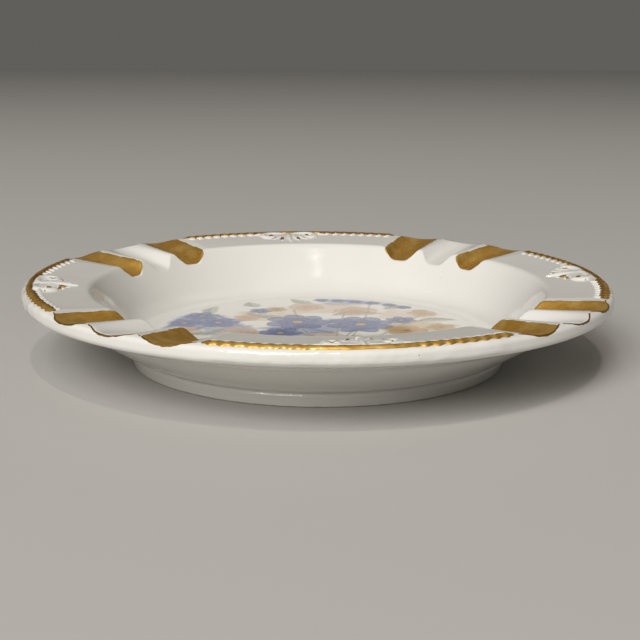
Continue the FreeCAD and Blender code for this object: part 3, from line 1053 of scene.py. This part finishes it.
def draw_bouquet(x, y):
    """A loose bouquet of blue, peach and ochre blooms tied near the front.

    A bloom with no petals given is a rose. Later blooms lie over earlier ones.
    """
    art = Picture(x, y)
    hazes = (
        ((-38, 18), 15, 13, INK_BLUE, 0.85), ((-28, 4), 9, 12, INK_BLUE, 0.70),
        ((4, 8), 24, 12, INK_BLUE, 0.85), ((-12, -8), 12, 12, INK_BLUE, 0.60),
        ((22, 45), 17, 6, INK_BLUE, 0.75), ((-14, 26), 14, 9, INK_PEACH, 0.55),
        ((8, 34), 16, 8, INK_PEACH, 0.70), ((34, 22), 12, 8, INK_PEACH, 0.60),
        ((34, 4), 14, 9, INK_OCHRE, 0.75), ((12, -12), 11, 8, INK_OCHRE, 0.55),
    )
    for centre, wide, tall, colour, amount in hazes:
        art.haze(centre, wide, tall, colour, amount)
    tie = (2.0, -27.0)
    for end, bend in (((-42, 24), (-18, -4)), ((-26, 6), (-10, -10)), ((-4, 34), (-4, 2)),
                      ((14, 30), (7, 2)), ((26, 46), (16, 8)), ((40, 22), (22, -4)),
                      ((34, 0), (18, -12)), ((-10, 12), (-3, -8)), ((16, 8), (8, -8))):
        art.stem([tie, bend, end], 0.55, INK_LEAF)
    for foot in ((-9, -46), (-3, -49), (4, -50), (10, -47), (14, -43)):
        art.stem([tie, ((tie[0] + foot[0]) / 2 + 0.5, -38), foot], 0.6, INK_LEAF)
    leaves = (
        ((-30, 8), (-47, 2)), ((-20, -4), (-34, -14)), ((-12, -14), (-24, -27)),
        ((-34, 30), (-30, 44)), ((-16, 40), (-19, 49)), ((4, 44), (-3, 53)),
        ((28, 32), (39, 34)), ((36, 12), (51, 12)), ((28, -10), (45, -12)),
        ((14, -16), (30, -28)), ((8, 24), (27, 25)), ((-8, 22), (-22, 32)),
        ((-2, -4), (-12, -18)), ((10, -6), (18, -20)), ((38, 24), (44, 29)),
    )
    for base, tip in leaves:
        art.leaf(base, tip, 3.1, INK_LEAF, INK_SEPIA)
    for spot in ((8, 49), (14, 47.5), (20, 45.3), (26, 42.2), (31.5, 38.4), (36, 34)):
        art.flower(spot, 3.4, 5, *BLUE, spot[0], 2)
    blooms = (
        ((-43.5, 17.5), 6.6, 6, BLUE, 0.3), ((-37, 27.5), 6.4, 6, BLUE, 0.9),
        ((-32, 17), 7.6, 6, BLUE, 0.1), ((-43, 8), 4.2, 5, PEACH, 0.5),
        ((-16, 33.5), 4.6, 5, BLUE, 0.2), ((-21.5, 23), 5.2, 5, PEACH, 1.1),
        ((-10, 35.5), 4.2, 5, BROWN, 0.4), ((1, 38.5), 7.4, 0, PEACH, 0.4),
        ((18, 29.5), 8.6, 0, PEACH, 2), ((40.5, 23.5), 5.6, 5, PEACH, 0.8),
        ((-26, 3), 7.6, 0, PEACH, 3), ((-5, 15), 11.5, 7, BLUE, 0.2),
        ((16, 9.5), 12, 8, BLUE, 0.6), ((-12.5, 0), 7.5, 6, BLUE, 1.3),
        ((31, 14), 5.8, 6, BLUE, 0.4), ((30, -1), 7.4, 5, OCHRE, 0.1),
        ((42.5, 2.5), 5.4, 5, OCHRE, 0.7), ((2, -9), 8.8, 0, PEACH, 1.2),
        ((-14, -13.5), 5.2, 6, BLUE, 0.8), ((16.5, -12), 5.6, 5, OCHRE, 1),
    )
    for centre, radius, petals, inks, turn in blooms:
        if petals:
            art.flower(centre, radius, petals, *inks, turn, 3 if radius > FULL_BLOOM else 2)
        else:
            art.rose(centre, radius, *inks[:2], turn)
    for loop in ((tie, (-9, -22), (-12, -30), tie), (tie, (13, -22), (17, -31), tie),
                 (tie, (-4, -35), (-10, -40)), (tie, (9, -35), (15, -38))):
        art.stem(loop, 1.0, INK_BLUE)
    return art


PRINT_RISE = 0.05
PRINT_BED = 0.08
PRINT_BORDER = 0.6
FADE_MARGIN = 1.5  # clear width inside the sheet's edge
FADE = 2.5


def make_print():
    """The printed sheet: a disc of fine rings that carries the colours."""
    rings, spokes = 150, 440
    radii = np.linspace(0.4, PRINT_R, rings)
    turns = np.arange(spokes) * 2 * math.pi / spokes
    r, t = np.meshgrid(radii, turns, indexing="ij")
    x, y = (r * np.cos(t)).ravel(), (r * np.sin(t)).ravel()
    lift = np.where(r.ravel() > PRINT_R - PRINT_BORDER, -0.03, PRINT_RISE)
    top = np.stack([x, y, FLOOR_Z + lift], 1)
    bottom = np.stack([x, y, np.full_like(x, FLOOR_Z - PRINT_BED)], 1)
    count = len(top)
    middles = [[0, 0, FLOOR_Z + PRINT_RISE], [0, 0, FLOOR_Z - PRINT_BED]]
    vertices = np.concatenate([top, bottom[-spokes:], middles])
    faces = tube_faces(rings, spokes)
    last = (rings - 1) * spokes
    middle = count + spokes
    for j in range(spokes):
        k = (j + 1) % spokes
        faces.append((middle, j, k))
        faces.append((last + j, count + j, count + k, last + k))
        faces.append((middle + 1, count + k, count + j))
    piece = mesh_object("printed_bouquet", vertices, faces)
    art = draw_bouquet(vertices[:, 0], vertices[:, 1])
    paint(piece, "ink", art.ink)
    fade = np.clip((PRINT_R - FADE_MARGIN - np.hypot(vertices[:, 0], vertices[:, 1])) / FADE, 0, 1)
    paint(piece, "cover", art.cover * fade)
    return place(piece, PRINT, ["picture_transfer"])


# ---- assembly ----
def make_plate():
    """All the pieces of the plate."""
    make_body()
    make_foot()
    make_print()
    for g, (name, group) in enumerate(GROUP_ANGLES.items()):
        for side, turn in (("left", FLUTE_PITCH), ("right", -FLUTE_PITCH)):
            flute = name + "_" + side
            piece = make_lining("gold_lining_" + flute, group + turn, g * 3 + turn)
            place(piece, GILDING, ["gilt_flute_" + flute])
        piece = make_edge_line("gold_line_" + name, group, g * 5 + 1)
        place(piece, GILDING, ["gilt_edge_line_" + name])
    for p, (name, panel) in enumerate(PANEL_ANGLES.items()):
        piece = make_band("gold_band_" + name, panel, p * 7 + 2)
        place(piece, GILDING, ["gilt_band_" + name])
        piece = make_crest("relief_crest_" + name, panel)
        place(piece, RELIEF, ["crest_" + name])
        piece = make_beads("relief_beads_" + name, panel)
        place(piece, RELIEF, ["bead_border_" + name])


# ---- the stage ----
CAMERA_DISTANCE = 0.4142
CAMERA_HEIGHT_ANGLE = 14.69
CAMERA_PITCH = 13.14
CAMERA_AZIMUTH = -90.0 - 7.75
CAMERA_ROLL = 0.417
CAMERA_ASIDE = 0.1
CAMERA_LENS = 69.95
CAMERA_SENSOR = 36.0
STAGE_HALF = 3.0
STAGE_COLOUR = (0.52, 0.51, 0.49, 1)
STAGE_ROUGH = 0.9
ROOM_COLOUR = (1.0, 0.95, 0.87, 1)
ROOM_STRENGTH = 0.12
# Name, azimuth from the camera's, elevation, distance, size, power and colour.
LIGHTS = (
    ("window", -24, 34, 3.0, 1.3, 62.0, (1.0, 0.985, 0.96)),
    ("softbox", -14, 52, 2.8, 0.65, 13.0, (1.0, 1.0, 1.0)),
    ("lamp", 2, 59, 3.0, 0.1, 11.0, (1.0, 0.92, 0.78)),
    ("ceiling", 160, 65, 1.4, 0.9, 1.0, (1.0, 0.95, 0.88)),
)


def make_camera():
    """The camera, a little above the rim and in front of the plate."""
    camera = new_object("camera", bpy.data.cameras.new("camera"))
    bpy.context.scene.camera = camera
    camera.data.sensor_width = CAMERA_SENSOR
    camera.data.lens = CAMERA_LENS
    up, turn = math.radians(CAMERA_HEIGHT_ANGLE), math.radians(CAMERA_AZIMUTH)
    flat = CAMERA_DISTANCE * math.cos(up)
    spot = Vector((flat * math.cos(turn), flat * math.sin(turn), CAMERA_DISTANCE * math.sin(up)))
    heading = Matrix.Rotation(turn + math.radians(90 - CAMERA_ASIDE), 4, "Z")
    tilt = Matrix.Rotation(math.radians(90 - CAMERA_PITCH), 4, "X")
    roll = Matrix.Rotation(math.radians(CAMERA_ROLL), 4, "Z")
    camera.matrix_world = Matrix.Translation(spot) @ heading @ tilt @ roll


def make_floor():
    """A wide matt floor under the plate."""
    half = STAGE_HALF
    corners = [(-half, -half, 0), (half, -half, 0), (half, half, 0), (-half, half, 0)]
    mesh = bpy.data.meshes.new("floor")
    mesh.from_pydata(corners, [], [(0, 1, 2, 3)])
    floor = new_object("floor", mesh)
    material = bpy.data.materials.new("pale_floor")
    material.use_nodes = True
    shader = material.node_tree.nodes["Principled BSDF"]
    shader.inputs["Base Color"].default_value = STAGE_COLOUR
    shader.inputs["Roughness"].default_value = STAGE_ROUGH
    floor.data.materials.append(material)


def make_light(name, azimuth, elevation, distance, size, power, colour):
    """A soft square lamp that faces the plate."""
    light = bpy.data.lights.new(name, "AREA")
    light.size = size
    light.energy = power
    light.color = colour
    lamp = new_object(name, light)
    up, turn = math.radians(elevation), math.radians(azimuth)
    spot = Vector((math.cos(up) * math.cos(turn), math.cos(up) * math.sin(turn), math.sin(up)))
    spot = spot * distance
    lamp.matrix_world = Matrix.Translation(spot) @ spot.to_track_quat("Z", "Y").to_matrix().to_4x4()


def make_lights():
    """The lights, a dim warm room, and the view that keeps the full contrast."""
    for name, azimuth, *rest in LIGHTS:
        make_light(name, CAMERA_AZIMUTH + azimuth, *rest)
    world = bpy.data.worlds.new("room")
    bpy.context.scene.world = world
    world.use_nodes = True
    background = world.node_tree.nodes["Background"]
    background.inputs["Color"].default_value = ROOM_COLOUR
    background.inputs["Strength"].default_value = ROOM_STRENGTH
    bpy.context.scene.view_settings.view_transform = "Standard"


make_plate()
make_floor()
make_lights()
make_camera()
